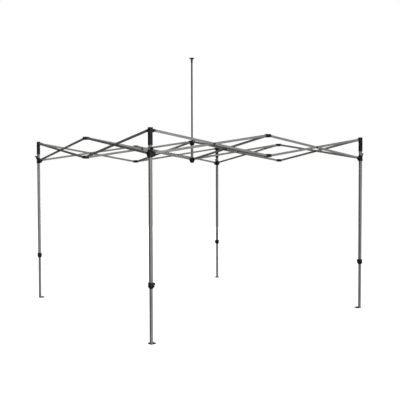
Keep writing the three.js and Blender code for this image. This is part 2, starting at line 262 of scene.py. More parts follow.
def stand(points, level, axis):
    """2-D points at a level along an axis: in (y, z) for x, in (x, z) for y, in (x, y) for z."""
    flat = np.column_stack([points, np.full(len(points), level)])
    return flat[:, list(AXES[axis])]


def slab(outline, low, high, edge, axis="z", steps=3):
    """Outline between two levels along an axis, with quarter-round edges."""
    points, corner_wear = outline
    angle = np.linspace(0, np.pi / 2, steps + 1)
    shrink = edge * (1 - np.sin(angle))
    rise = edge * (1 - np.cos(angle))
    shrink = np.concatenate([[edge * 1.8], shrink, [0]])
    rise = np.concatenate([[0], rise, [edge * 1.8]])
    worn = np.concatenate([[0], np.sin(np.linspace(0.3, np.pi - 0.3, steps + 1)), [0]])
    lower = [stand(inset(points, s), low + r, axis) for s, r in zip(shrink, rise)]
    upper = [stand(inset(points, s), high - r, axis) for s, r in zip(shrink[::-1], rise[::-1])]
    wear = np.concatenate([worn, worn[::-1]])[:, None]
    return skin(np.array(lower + upper), np.maximum(wear, corner_wear[None, :] * (wear > -1)))


def tube(outline, wall, low, high, axis="z", edge=0.35):
    """Hollow length of an outline, open at both ends."""
    points, corner_wear = outline
    inner = inset(points, wall)
    rows = [
        (inset(points, edge), low), (points, low + edge), (points, low + 4 * edge),
        (points, high - 4 * edge), (points, high - edge), (inset(points, edge), high),
        (inset(inner, -edge), high), (inner, high - edge), (inner, low + edge), (inset(inner, -edge), low),
    ]
    worn = np.array([1, 1, 0, 0, 1, 1, 1, 0, 0, 1])[:, None]
    grid = np.array([stand(p, level, axis) for p, level in rows])
    return ring(grid, np.maximum(worn, corner_wear[None, :]) * np.ones(grid.shape[:2]))


def turned(profile, axis="z", centre=(0, 0, 0), sides=40, wear=None):
    """Profile of (radius, height) points spun about an axis through centre; closes on itself if hollow."""
    profile = np.asarray(profile, float)
    unit = circle(1, sides)[0]
    grid = np.array([stand(unit * r, h, axis) for r, h in profile]) + np.asarray(centre, float)
    values = np.zeros(len(profile)) if wear is None else np.asarray(wear, float)
    return grid, values[:, None] * np.ones(grid.shape[:2])


def domed(radius, height, low, direction, axis, centre, sides=24, round_share=0.5):
    """Round head on a face at `low`, pointing along +1 or -1 of the axis, with a soft shoulder."""
    t = np.linspace(0, np.pi / 2, 6)
    soft = min(height, radius) * round_share
    shoulder = [(radius - soft + soft * np.cos(a), height - soft + soft * np.sin(a)) for a in t]
    profile = np.array([(radius, 0)] + shoulder + [(radius * 0.35, height)])
    profile[:, 1] = low + direction * profile[:, 1]
    worn = [0, 0, 0.4, 1, 1, 0.4, 0, 0]
    return skin(*turned(profile, axis, centre, sides, worn))


def hexagon(across, low, high, axis, centre, edge=0.5):
    """Hexagonal nut or bolt head between two levels."""
    angle = np.arange(6) * np.pi / 3
    corners = np.stack([np.cos(angle), np.sin(angle)], 1) * across / math.sqrt(3)
    return moved(slab(rounded(corners, 0.4, 2, 0.4), low, high, edge, axis, 2), centre)


# %% [markdown]
# ## From shells to a piece
#
# Shells that belong to one moulding or one tube become one mesh. Each shell is turned so that its faces
# point outwards, the wear values become a point attribute, and edges sharper than 38 degrees stay crisp.

# %% Make a piece
made = []
SHARP_ANGLE = 38


def piece(name, shells, material, body, replaces=()):
    """Builds one mesh object from shells, gives it a finish, and lets it ride on a body."""
    points, faces, wear, start = [], [], [], 0
    for shell_points, shell_faces, shell_wear in shells:
        faces += [[i + start for i in f] for f in outward(shell_points, shell_faces)]
        points.append(shell_points)
        wear.append(shell_wear)
        start += len(shell_points)
    mesh = bpy.data.meshes.new(name)
    mesh.from_pydata((np.concatenate(points) * MM).tolist(), [], faces)
    mesh.polygons.foreach_set("use_smooth", np.ones(len(faces), bool))
    values = np.concatenate(wear).astype(np.float32)
    mesh.attributes.new("wear", "FLOAT", "POINT").data.foreach_set("value", values)
    mesh.set_sharp_from_angle(angle=math.radians(SHARP_ANGLE))
    mesh.materials.append(material)
    mesh.update()
    thing = bpy.data.objects.new(name, mesh)
    bpy.context.scene.collection.objects.link(thing)
    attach(thing, body)
    if replaces:
        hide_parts(*replaces)
    made.append(thing)
    return thing


# %% Tubes with holes, pockets and beads
def resampled(points, count):
    """Outline resampled to points evenly spaced along its length."""
    loop = np.vstack([points, points[:1]])
    along = np.concatenate([[0], np.cumsum(np.linalg.norm(np.diff(loop, axis=0), axis=1))])
    at = np.linspace(0, along[-1], count, endpoint=False)
    return np.column_stack([np.interp(at, along, loop[:, i]) for i in (0, 1)])


def holed_tube(half, corner, wall, low, high, levels, hole, cells=8, edge=0.35):
    """Square tube along z with round holes through its +x wall.

    Outer and inner wall are grids over the same columns and rows. At each hole a square block of cells
    is left out, and each point of the block's rim is joined to the point of a circle at the same angle.
    """
    outline, corner_wear = rectangle(half, half, corner)
    first = len(outline) // 2
    side = np.linspace(-1.6 * hole, 1.6 * hole, cells + 1)
    flat = np.column_stack([np.full(cells + 1, half), side])
    columns = np.concatenate([outline[:first], flat, outline[first:]])
    column_wear = np.concatenate([corner_wear[:first], np.zeros(cells + 1), corner_wear[first:]])
    levels = sorted(levels)
    ups = np.concatenate([
        [low, low + edge, low + 4 * edge], *[z + side for z in levels],
        [high - 4 * edge, high - edge, high],
    ])
    ends = np.zeros(len(ups))
    ends[[0, -1]] = edge
    inner = inset(columns, wall)
    outside = np.array([stand(inset(columns, e), z, "z") for e, z in zip(ends, ups)])
    inside = np.array([stand(inset(inner, -e), z, "z") for e, z in zip(ends, ups)])
    rows, width = len(ups), len(columns)
    o = np.arange(rows * width).reshape(rows, width)
    i = o + o.size
    keep = np.ones((rows - 1, width), bool)
    starts = [3 + n * (cells + 1) for n in range(len(levels))]
    for r in starts:
        keep[r:r + cells, first:first + cells] = False
    o_next, i_next = np.roll(o, -1, 1), np.roll(i, -1, 1)
    quads = [
        np.stack([o[:-1], o_next[:-1], o_next[1:], o[1:]], -1)[keep],
        np.stack([i[:-1], i[1:], i_next[1:], i_next[:-1]], -1)[keep],
        np.stack([o_next[0], o[0], i[0], i_next[0]], -1),
        np.stack([o[-1], o_next[-1], i_next[-1], i[-1]], -1),
    ]
    points = [outside.reshape(-1, 3), inside.reshape(-1, 3)]
    worn = np.zeros(rows)
    worn[[0, 1, -2, -1]] = 1
    wear = np.maximum(worn[:, None], column_wear[None, :]).reshape(-1)
    wear = [wear, wear * 0]
    count = 2 * o.size
    for r, z in zip(starts, levels):
        block = o[r:r + cells + 1, first:first + cells + 1]
        rim = np.concatenate([block[0, :-1], block[:-1, -1], block[-1, :0:-1], block[:0:-1, 0]])
        place = points[0][rim]
        angle = np.arctan2(place[:, 2] - z, place[:, 1])
        for x in (half, half - wall):
            bore = [np.full(len(rim), x), hole * np.cos(angle), z + hole * np.sin(angle)]
            points.append(np.column_stack(bore))
            wear.append(np.full(len(rim), 0.8))
        outer_circle = count + np.arange(len(rim))
        inner_circle = outer_circle + len(rim)
        count += 2 * len(rim)
        for a, b in ((rim, outer_circle), (outer_circle, inner_circle), (inner_circle, rim + o.size)):
            quads.append(np.stack([a, np.roll(a, -1), np.roll(b, -1), b], -1))
    return np.concatenate(points), np.concatenate(quads).tolist(), np.concatenate(wear)


def pierced_plate(outline, centre, hole, low, high, edge):
    """Plate with one round hole: each point of the hole lies at the angle of its outline point."""
    points = resampled(outline[0], 112)
    angle = np.arctan2(points[:, 1] - centre[1], points[:, 0] - centre[0])
    unit = np.column_stack([np.cos(angle), np.sin(angle)])
    mouth, bore = np.array(centre) + unit * (hole + edge), np.array(centre) + unit * hole
    rows = [
        (inset(points, edge), low), (points, low + edge), (points, high - edge),
        (inset(points, edge), high), (mouth, high), (bore, high - edge), (bore, low + edge), (mouth, low),
    ]
    worn = np.array([0.3, 1, 1, 1, 0.6, 0.6, 0.3, 0.3])[:, None]
    grid = np.array([stand(p, z, "z") for p, z in rows])
    return ring(grid, worn * np.ones(grid.shape[:2]))


def bead(points, level, radius, ripples):
    """Fillet weld: a small circle carried round an outline, swelling a little with each ripple."""
    path = resampled(points, 4 * ripples)
    normal = inset(path, -1.0) - path
    swell = radius * (1 + 0.14 * np.sin(np.arange(len(path)) * np.pi / 2))[:, None]
    unit = circle(1, 8)[0]
    grid = np.empty((len(path), 8, 3))
    grid[..., :2] = path[:, None] + normal[:, None] * (unit[:, 0] * swell)[..., None]
    grid[..., 2] = level + unit[:, 1] * swell
    return ring(grid, np.full(grid.shape[:2], 0.35))


def pocketed(outline, back, front, rim, depth, edge, axis):
    """Slab whose front face has a moulded pocket: round the front edge, in by the rim, down to a floor."""
    points, corner_wear = outline
    way = math.copysign(1, front - back)
    angle = np.linspace(0, np.pi / 2, 4)
    shrink, rise = edge * (1 - np.sin(angle)), edge * (1 - np.cos(angle))
    rows = [(1.8 * edge, back, 0)]
    rows += [(s, back + way * r, 0.8) for s, r in zip(shrink, rise)]
    rows += [(s, front - way * r, 0.8) for s, r in zip(shrink[::-1], rise[::-1])]
    rows += [(rim - 0.3, front, 0.7), (rim, front - way * 0.3, 0.5)]
    rows += [(rim + 0.4, front - way * depth, 0)]
    grid = np.array([stand(inset(points, s), level, axis) for s, level, _ in rows])
    worn = np.array([w for _, _, w in rows])[:, None]
    return skin(grid, np.maximum(worn, corner_wear[None, :] * (worn > 0)))


def squares(levels, steps=5):
    """Rows of rounded squares about the z axis; each level is (half width, corner radius, height, wear)."""
    rows, wear = [], []
    for half, corner, z, w in levels:
        points, corner_wear = rectangle(half, half, corner, steps)
        rows.append(stand(points, z, "z"))
        wear.append(np.maximum(w, corner_wear * 0.8))
    return np.array(rows), np.array(wear)


# %% [markdown]
# ## Finishes
#
# Three effects turn up in nearly every finish, so each is a node group. *Edge wear* lets bare metal or
# polished plastic through where the wear value is high and a noise agrees. *Coat grain* gives the small
# dimples of powder coat or the fine texture of a mould, with a slow drift of tone over the tube. *Dust*
# settles on faces that look up and near the ground. Another, *rub marks*, draws the long fine lines that
# a sliding piece leaves. All of them read object coordinates, which are metres in the frame here.

# %% Node helpers
def add(tree, kind, inputs=None, **settings):
    """Adds a node with its settings, then its inputs: values or other nodes' output sockets."""
    made_node = tree.nodes.new(kind)
    for key, value in settings.items():
        setattr(made_node, key, value)
    for key, value in (inputs or {}).items():
        if isinstance(value, bpy.types.NodeSocket):
            tree.links.new(value, made_node.inputs[key])
        else:
            made_node.inputs[key].default_value = value
    return made_node


def group(name, inputs, outputs):
    """Empty shader node group with named sockets; returns its tree, input node and output node."""
    tree = bpy.data.node_groups.new(name, "ShaderNodeTree")
    for socket, kind in inputs.items():
        tree.interface.new_socket(name=socket, in_out="INPUT", socket_type=kind)
    for socket, kind in outputs.items():
        tree.interface.new_socket(name=socket, in_out="OUTPUT", socket_type=kind)
    return tree, tree.nodes.new("NodeGroupInput"), tree.nodes.new("NodeGroupOutput")


def maths(tree, operation, *values, clamp=False):
    """Result socket of a Math node."""
    inputs = dict(enumerate(values))
    return add(tree, "ShaderNodeMath", inputs, operation=operation, use_clamp=clamp).outputs[0]


def noise(tree, vector, scale, detail, roughness=0.5):
    """Factor socket of a Noise Texture node."""
    inputs = {"Vector": vector, "Scale": scale, "Detail": detail, "Roughness": roughness}
    return add(tree, "ShaderNodeTexNoise", inputs).outputs[0]


def ramp(tree, value, low, high):
    """Smooth step of a value from 0 at low to 1 at high."""
    limits = {"Value": value, "From Min": low, "From Max": high}
    return add(tree, "ShaderNodeMapRange", limits, interpolation_type="SMOOTHSTEP").outputs[0]


def mixed(tree, factor, a, b):
    """Colour between a and b."""
    return add(tree, "ShaderNodeMix", {0: factor, 6: a, 7: b}, data_type="RGBA").outputs[2]


FLOAT, VECTOR = "NodeSocketFloat", "NodeSocketVector"

# %% Edge wear group
sockets = {"Vector": VECTOR, "Wear": FLOAT, "Amount": FLOAT}
edge_wear, start, end = group("Edge wear", sockets, {"Mask": FLOAT})
where, wear_in, amount = (start.outputs[name] for name in sockets)
coarse = maths(edge_wear, "MULTIPLY", noise(edge_wear, where, 14.0, 3.0), 1.1)
patch = maths(edge_wear, "ADD", coarse, noise(edge_wear, where, 160.0, 4.0))
limit = maths(edge_wear, "SUBTRACT", 1.65, amount)
soft_limit = maths(edge_wear, "ADD", limit, 0.22)
mask = ramp(edge_wear, maths(edge_wear, "MULTIPLY", patch, wear_in), limit, soft_limit)
edge_wear.links.new(mask, end.inputs["Mask"])

# %% Coat grain group
sockets = {"Vector": VECTOR, "Dimples": FLOAT, "Drift": FLOAT}
coat_grain, start, end = group("Coat grain", sockets, {"Height": FLOAT, "Tone": FLOAT})
where, dimple_scale, drift_scale = (start.outputs[name] for name in sockets)
cell_inputs = {"Vector": where, "Scale": dimple_scale, "Smoothness": 0.6}
cells = add(coat_grain, "ShaderNodeTexVoronoi", cell_inputs, feature="SMOOTH_F1")
skin_noise = maths(coat_grain, "MULTIPLY", noise(coat_grain, where, dimple_scale, 2.0), 0.5)
height = maths(coat_grain, "ADD", cells.outputs["Distance"], skin_noise)
tone = ramp(coat_grain, noise(coat_grain, where, drift_scale, 4.0), 0.3, 0.7)
coat_grain.links.new(height, end.inputs["Height"])
coat_grain.links.new(tone, end.inputs["Tone"])

# %% Dust group
sockets = {"Vector": VECTOR, "Normal": VECTOR, "Amount": FLOAT, "Splash height": FLOAT}
dust, start, end = group("Dust", sockets, {"Mask": FLOAT})
where, facing, amount, splash_height = (start.outputs[name] for name in sockets)
up = add(dust, "ShaderNodeSeparateXYZ", {0: facing}).outputs["Z"]
level = add(dust, "ShaderNodeSeparateXYZ", {0: where}).outputs["Z"]
splash = maths(dust, "SUBTRACT", 1.0, ramp(dust, level, 0.0, splash_height))
lying = maths(dust, "ADD", maths(dust, "MULTIPLY", ramp(dust, up, 0.2, 1.0), 0.6), splash)
specks = ramp(dust, noise(dust, where, 45.0, 6.0, 0.7), 0.38, 0.72)
thick = maths(dust, "MULTIPLY", lying, specks)
dust.links.new(maths(dust, "MULTIPLY", thick, amount, clamp=True), end.inputs["Mask"])

# %% Rub marks group
sockets = {"Vector": VECTOR, "Amount": FLOAT}
rub_marks, start, end = group("Rub marks", sockets, {"Mask": FLOAT})
where, amount = (start.outputs[name] for name in sockets)
stretch = {"Vector": where, "Scale": (420.0, 420.0, 3.0)}
drawn_out = add(rub_marks, "ShaderNodeMapping", stretch).outputs[0]
lines = ramp(rub_marks, noise(rub_marks, drawn_out, 1.0, 3.0), 0.56, 0.72)
zones = ramp(rub_marks, noise(rub_marks, where, 5.0, 2.0), 0.4, 0.65)
marks = maths(rub_marks, "MULTIPLY", lines, zones)
rub_marks.links.new(maths(rub_marks, "MULTIPLY", marks, amount, clamp=True), end.inputs["Mask"])

# %% [markdown]
# Every finish is then the same short chain: a coat colour that drifts between two tones, bare material
# where it is worn or rubbed, dust over both, and a bump from the grain. Only the numbers differ: powder
# coat is a semi-gloss paint with broad dimples, nylon is dark and finely textured, zinc is bare metal.

# %% Make a finish
DUST_COLOUR = (0.34, 0.31, 0.26, 1)
DUST_ROUGHNESS = 0.4
ROUGHNESS_DRIFT = 0.12


def finish(name, tones, rough, metal, bare, dimples, relief, wear=0, rub=0, dusty=0, splash=0.05, drift=6):
    """Material from the groups.

    tones: two coat colours. rough and metal: (coat, bare) pairs. bare: colour where the coat is gone.
    dimples and drift: scales of the grain and of the tone. relief: depth of the grain in millimetres.
    """
    material = bpy.data.materials.new(name)
    material.use_nodes = True
    tree = material.node_tree
    shader = tree.nodes["Principled BSDF"]
    place = add(tree, "ShaderNodeTexCoord")
    where, facing = place.outputs["Object"], place.outputs["Normal"]
    edges = add(tree, "ShaderNodeAttribute", attribute_name="wear").outputs["Fac"]

    def effect(source, inputs):
        """Output sockets of a node group placed in this material."""
        return add(tree, "ShaderNodeGroup", {"Vector": where, **inputs}, node_tree=source).outputs

    grain = effect(coat_grain, {"Dimples": dimples, "Drift": drift})
    worn_mask = effect(edge_wear, {"Wear": edges, "Amount": wear})[0]
    rubbed = effect(rub_marks, {"Amount": rub})[0]
    dust_mask = effect(dust, {"Normal": facing, "Amount": dusty, "Splash height": splash})[0]
    bare_mask = maths(tree, "MAXIMUM", worn_mask, rubbed)
    coat = mixed(tree, grain["Tone"], (*tones[0], 1), (*tones[1], 1))
    colour = mixed(tree, bare_mask, coat, (*bare, 1))
    colour = mixed(tree, dust_mask, colour, DUST_COLOUR)
    uneven = maths(tree, "MULTIPLY", grain["Tone"], ROUGHNESS_DRIFT)
    coat_rough = maths(tree, "ADD", rough[0] - ROUGHNESS_DRIFT / 2, uneven)
    bare_change = maths(tree, "MULTIPLY", bare_mask, rough[1] - rough[0])
    roughness = maths(tree, "ADD", coat_rough, bare_change)
    dusted = maths(tree, "MULTIPLY", dust_mask, DUST_ROUGHNESS)
    roughness = maths(tree, "ADD", roughness, dusted, clamp=True)
    metallic = maths(tree, "ADD", metal[0], maths(tree, "MULTIPLY", bare_mask, metal[1] - metal[0]))
    metallic = maths(tree, "SUBTRACT", metallic, dust_mask, clamp=True)
    dimpled = {"Height": grain["Height"], "Distance": relief * MM, "Strength": 0.6}
    bump = add(tree, "ShaderNodeBump", dimpled)
    tree.links.new(colour, shader.inputs["Base Color"])
    tree.links.new(roughness, shader.inputs["Roughness"])
    tree.links.new(metallic, shader.inputs["Metallic"])
    tree.links.new(bump.outputs[0], shader.inputs["Normal"])
    return material


# %% The finishes of this frame
leg_coat = finish(
    "Grey hammered coat on the legs", ((0.272, 0.271, 0.256), (0.298, 0.297, 0.282)),
    (0.42, 0.3), (0.25, 0.8), (0.42, 0.42, 0.405), 380, 0.2, wear=0.24, rub=0.3, dusty=0.22, splash=0.3,
)
bar_coat = finish(
    "Grey hammered coat on the bars", ((0.308, 0.308, 0.296), (0.337, 0.337, 0.324)),
    (0.42, 0.3), (0.25, 0.8), (0.42, 0.42, 0.405), 380, 0.2, wear=0.2, dusty=0.16,
)
inner_coat = finish(
    "Grey coat on the inner legs", ((0.285, 0.284, 0.266), (0.315, 0.314, 0.296)),
    (0.38, 0.28), (0.25, 0.8), (0.45, 0.45, 0.43), 520, 0.12, wear=0.3, rub=0.5, dusty=0.3, splash=0.22,
)
foot_coat = finish(
    "Dark steel of the feet", ((0.018, 0.018, 0.018), (0.03, 0.03, 0.029)),
    (0.55, 0.4), (0.2, 0.8), (0.16, 0.16, 0.15), 420, 0.2, wear=0.35, dusty=0.14, splash=0.06, drift=22,
)
mast_coat = finish(
    "Dark grey coat on the mast", ((0.056, 0.056, 0.058), (0.072, 0.072, 0.074)),
    (0.44, 0.3), (0.25, 0.8), (0.15, 0.15, 0.15), 520, 0.12, wear=0.3, rub=0.4, dusty=0.06,
)
nylon = finish(
    "Black moulded nylon", ((0.0045, 0.0047, 0.0062), (0.0075, 0.0078, 0.0098)),
    (0.52, 0.4), (0, 0), (0.03, 0.031, 0.036), 900, 0.1, wear=0.3, dusty=0.12, drift=18,
)
knob_nylon = finish(
    "Smooth black nylon of knobs and caps", ((0.004, 0.004, 0.0045), (0.006, 0.006, 0.007)),
    (0.38, 0.3), (0, 0), (0.03, 0.03, 0.032), 1400, 0.05, wear=0.35, dusty=0.08, drift=30,
)
plug_nylon = finish(
    "Slate end plugs", ((0.045, 0.05, 0.062), (0.06, 0.066, 0.08)),
    (0.5, 0.4), (0, 0), (0.12, 0.13, 0.15), 900, 0.08, wear=0.3, dusty=0.15, drift=30,
)
zinc = finish(
    "Bright zinc of bolts and rivets", ((0.42, 0.42, 0.41), (0.55, 0.55, 0.53)),
    (0.34, 0.24), (0.95, 0.95), (0.68, 0.67, 0.64), 700, 0.08, wear=0.5, dusty=0.12, drift=60,
)
for dull_black in (nylon, knob_nylon):
    dull_black.node_tree.nodes["Principled BSDF"].inputs["Specular IOR Level"].default_value = 0.35
print("finishes:", [m.name for m in bpy.data.materials if m.users])

# %% [markdown]
# ## Legs
#
# A leg is two square tubes, one sliding in the other. The outer one is rolled and welded from 1.5 mm
# strip, so its corners are round: a corner radius of about a tenth of the width, which catches a thin
# line of light along the whole leg. The hole in its side is where the slider's pull pin locks.
# Each tube is one closed shell with an inside, so that the holes show a wall thickness.

# %% Outer legs
corner_at = np.array([-leg_half, -leg_half, 0])
side_at = np.array([0, -leg_half, 0])


def placed(shells, turns, at=(0, 0, 0)):
    """The shells moved to a place in the first quarter and turned to the quarter wanted."""
    return [quarter_turned(moved(s, at), turns) for s in shells]


def at_corners(*rows):
    """Puts each row's piece at all four corners; {} in a name stands for the corner.

    A row is the piece's name, shells, finish, body, record slot, and the nodes that it replaces.
    """
    for k, (corner, _) in enumerate(quarters):
        for name, shells, material, body, slot, *nodes in rows:
            name, body, *nodes = (text.format(corner) for text in (name, body, *nodes))
            piece(name, placed(shells, k, corner_at), material, body, nodes)


pull_pin_z = sum(heights("pull_pin_front_left")) / 2
button_z = sum(heights("lock_button_front_left")) / 2
hole_radius = 4.5
outer_tube = quarter_turned(
    holed_tube(outer_leg, 3.2, outer_leg_wall, lock_bottom + 14, leg_top, [pull_pin_z], hole_radius), 3
)
at_corners(("outer_leg_tube_{}", [outer_tube], leg_coat, "leg_{}", "frame_paint", "outer_leg_{}"))

# %% [markdown]
# The inner leg has a hole for each height, and a pressed foot plate welded round its end. The plate has
# a raised lip, which stiffens it. The weld is a small circle carried round the tube; it swells with each
# pass of the torch.

# %% Inner legs and feet
foot_box = [corner.x / MM + leg_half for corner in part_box("inner_leg_front_left")]
foot_middle = sum(foot_box) / 2
foot_half = (foot_box[1] - foot_box[0]) / 2
foot_thick = 3
peg_hole_at = (33, 33)
height_levels = [button_z, button_z - 100, button_z - 200]
inner_tube = holed_tube(
    inner_leg, 2.6, inner_leg_wall, foot_thick - 0.5, inner_leg_top, height_levels, hole_radius
)
plate_outline = rectangle(foot_half, foot_half, 7)
plate_outline = (plate_outline[0] + foot_middle, plate_outline[1])
plate = pierced_plate(plate_outline, peg_hole_at, 5, 0, foot_thick, 0.5)
lip = tube(plate_outline, 3, 0.2, 9, "z", 0.7)
weld = bead(rectangle(inner_leg + 0.4, inner_leg + 0.4, 2.6)[0], foot_thick, 1.8, 30)
foot_rivet = domed(3.4, 1.4, -inner_leg, -1, "y", (0, 0, 30))
inner_body = "inner_leg_{}"
at_corners(
    ("inner_leg_tube_{}", [inner_tube], inner_coat, inner_body, "inner_leg_paint", inner_body),
    ("foot_plate_{}", [plate, lip, weld], foot_coat, inner_body, "inner_leg_paint"),
    ("foot_rivet_{}", [foot_rivet], foot_coat, inner_body, "inner_leg_paint"),
)
print("foot plate", round(2 * foot_half), "mm square")

# %% [markdown]
# ## Leg locks
#
# Pressed on the foot of each outer leg is a nylon housing with a push button, whose pin drops into one
# of the inner leg's holes. The collar is a loft of rounded squares, down its inside and up its outside.
# The boss beside it is a slab with a pocket, and the button stands in that pocket on its own spring.

# %% Lock housings and buttons
lock_waist = 22.2
lock_band = 23.0
collar_levels = np.array([
    (outer_leg + 0.1, 3, 58, 0), (outer_leg + 0.1, 3, 14, 0),
    (inner_leg + 0.9, 2.8, 13, 0), (inner_leg + 0.9, 2.8, 0, 0.4),
    (16.0, 4, 0, 0.6), (16.9, 4.4, 0.9, 1), (18.2, 5, 6, 0.1), (19.0, 5, 9, 0),
    (22.4, 5, 10.6, 0.6), (lock_band, 5, 11.6, 0.9), (lock_band, 5, 18, 0.4), (lock_waist, 4.6, 18.8, 0),
    (lock_waist, 4.6, 48, 0), (lock_band, 5, 48.8, 0.5), (lock_band, 5, 56.8, 0.8),
    (22.6, 4.8, 57.7, 1), (21.8, 4.6, 58, 0.6),
])
collar = moved(ring(*squares(collar_levels)), (0, 0, lock_bottom))


def upright(half_width, low, high, radius, steps=4):
    """Rounded rectangle that stands between two heights."""
    points, wear = rectangle(half_width, (high - low) / 2, radius, steps)
    return points + [0, (high + low) / 2], wear


boss = pocketed(upright(13, lock_top - 32, lock_top - 1, 4), outer_leg + 1, 33, 2.6, 10, 1, "x")
chin = slab(upright(13, lock_bottom + 9, lock_top - 30, 3), outer_leg + 3, 32.4, 2, "x", 4)
collar_rivets = [
    domed(2.6, 1.2, way * lock_waist, way, "y", (dx, 0, lock_top - 19))
    for way in (-1, 1) for dx in (-10, 10)
]
button = slab(upright(9, button_z - 10, button_z + 10, 3.4), 22, 41, 2.6, "x", 5)
grips = [
    slab(upright(6, z - 0.7, z + 0.7, 0.6, 2), 39.5, 42, 0.5, "x", 2)
    for z in button_z + np.array([-4.5, -1.5, 1.5, 4.5])
]
button_body = "lock_button_{}"
at_corners(
    ("lock_housing_{}", [collar, boss, chin], nylon, "leg_{}", "bracket_plastic"),
    ("lock_housing_rivets_{}", collar_rivets, zinc, "leg_{}", "fastener_steel"),
    (button_body + "_press", [button, *grips], knob_nylon, button_body, "control_plastic", button_body),
)

# %% [markdown]
# ## Top brackets
#
# A top bracket is one moulding: a long sleeve down over the leg, a broad domed head that the roof cloth
# would rest on, and a lug for each of the two bars that leave the corner. A mould can't fill thick lumps
# without sink marks, so the lugs are hollowed on their free side and leave a rim.

# %% One lug
bar_outer_face = bar_thick + 0.5 + 0.3


def lug_shells(corners, radii, rib_start, z, way):
    """Nylon shells and steel nut of a lug whose bar lies on its -y side (way 1) or +y side (way -1).

    The lug is a slab with a moulded pocket, a rib along the middle and a boss round the bolt. The cap
    snapped over the bolt's head is on the bar's far side.
    """
    points, wear = rounded(corners, radii)
    lug = pocketed((points + [0, z], wear), 0, way * bar_thick, 2.4, 7.5, 0.9, "y")
    at = (corner_pivot, 0, z)
    boss_levels = [(6.2, way * (bar_thick - 8)), (5.8, way * (bar_thick - 0.6)), (5.2, way * bar_thick)]
    boss = skin(*turned(boss_levels, "y", at, 28, [0, 0.8, 0.9]))
    rib_end = corner_pivot - 5
    rib_corners = [(rib_start, z - 1), (rib_end, z - 1), (rib_end, z + 1), (rib_start, z + 1)]
    rib_outline = rounded(rib_corners, 0.5, 2)
    rib = slab(rib_outline, *sorted((way * (bar_thick - 8), way * (bar_thick - 0.4))), 0.4, "y", 2)
    cap = domed(9, 3, -way * bar_outer_face, -way, "y", at, 32, 0.75)
    nut = hexagon(8, *sorted((way * (bar_thick - 0.2), way * (bar_thick + 3.4))), "y", at)
    return [lug, boss, rib, cap], nut


# %% Top brackets
sleeve_half = 18.2
head_half = 20.6
head_lean = 2.2
shoulder = 6
leg_end, head_low, top = leg_top - sleeve_bottom, high_z - 12 - sleeve_bottom, bracket_top - sleeve_bottom
quarter = np.linspace(0, np.pi / 2, 6)
bracket_levels = [
    (outer_leg + 0.3, 3, leg_end, 0), (outer_leg + 0.3, 3, 0.5, 0), (outer_leg + 0.8, 3.4, 0, 0.5),
    (18.4, 3.8, 0, 0.8), (19.1, 4.2, 0.8, 1), (19.1, 4.2, 7, 0.4),
    (sleeve_half, 3.8, 8, 0), (sleeve_half, 3.8, head_low - 10, 0), (18.8, 4.2, head_low - 7, 0),
    (19.4, 5.4, head_low - 3.2, 0), (20.2, 6.4, head_low - 0.8, 0.3), (head_half, 7, head_low + 0.8, 0.9),
    (head_half, 7, head_low + 3, 0.1), (head_half, 7, top - shoulder - 2, 0.1),
]
bracket_levels += [
    (head_half + shoulder * (c - 1), 7 - 3 * s, top + shoulder * (s - 1), 0.55)
    for c, s in zip(np.cos(quarter), np.sin(quarter))
]
bracket_levels += [(12, 3, top, 0), (4, 1.5, top, 0)]
bracket_rows, bracket_wear = squares(bracket_levels)
outside = bracket_rows[2:]
outside[..., :2] += np.interp(outside[..., 2:], [head_low - 7, head_low], [0, head_lean])
bracket_body = moved(skin(bracket_rows, bracket_wear), (0, 0, sleeve_bottom))
top_lug, top_nut = lug_shells(
    [(16.3, -21), (40, -17), (57, -9), (57, 9), (50, 15), (16.3, 17)], [1, 9, 7, 7, 7, 1], 18, high_z, 1
)
sleeve_screw_caps = [
    domed(3.4, 1.4, -sleeve_half, -1, axis, (0, 0, sleeve_bottom + up))
    for axis in ("x", "y") for up in (22, 88)
]
bracket_shells = [bracket_body, *top_lug, *map(swapped, top_lug), *sleeve_screw_caps]
bracket_node = "top_bracket_{}"
at_corners(
    ("top_bracket_moulding_{}", bracket_shells, nylon, "leg_{}", "bracket_plastic", bracket_node),
    ("top_bracket_bolts_{}", [top_nut, swapped(top_nut)], zinc, "leg_{}", "fastener_steel"),
)

# %% [markdown]
# ## Sliders
#
# The slider carries the lower bar of each span up and down the leg. Its pull pin is a spring bolt in a
# boss on the side: pull the knob out, and the slider is free to run down. Two bands run round the body,
# and its lower edge is drawn in as on the real moulding.

# %% Slider shapes
slider_low = heights("slider_front_left")[0]
tall = low_z + 28 - slider_low
slider_bore = outer_leg + 0.6
slider_levels = [
    (slider_bore, 3.2, tall - 0.6, 0), (slider_bore, 3.2, 0.6, 0), (slider_bore + 0.6, 3.6, 0, 0.5),
    (19.4, 5.4, 0, 0.8), (20.3, 6, 0.9, 1), (20.7, 6.2, 3, 0.1), (21, 6.4, 6, 0.1), (21, 6.6, 12, 0.2),
    (21, 6.6, 17, 0.6), (20, 6, 18, 0), (20, 6, tall - 10, 0), (21, 6.6, tall - 9, 0.6),
    (21, 6.6, tall - 1.6, 0.7), (20.5, 6.2, tall - 0.5, 1), (19.4, 5.6, tall, 0.7),
    (slider_bore + 0.6, 3.6, tall, 0.4),
]
slider_body = moved(ring(*squares(slider_levels)), (0, 0, slider_low))
slider_lug, slider_nut = lug_shells(
    [(19.5, -38), (39, -36), (55, -14), (55, 8), (48, 14), (19.5, 17)], [1, 8, 10, 7, 7, 1], 20, low_z, -1
)
pin_at = (0, 0, pull_pin_z)
boss_points, boss_wear = rounded([(-11, -34), (11, -34), (11, 12), (-11, 12)], [3, 3, 9, 9], 6)
pull_boss = slab((boss_points + [0, pull_pin_z], boss_wear), -30, -slider_bore, 1.4, "y", 4)
pull_collar_levels = [(7.6, -29), (7.6, -29.9), (7.0, -30.2), (4.6, -30.2)]
pull_collar = skin(*turned(pull_collar_levels, "y", pin_at, 32, [0, 1, 1, 0]))


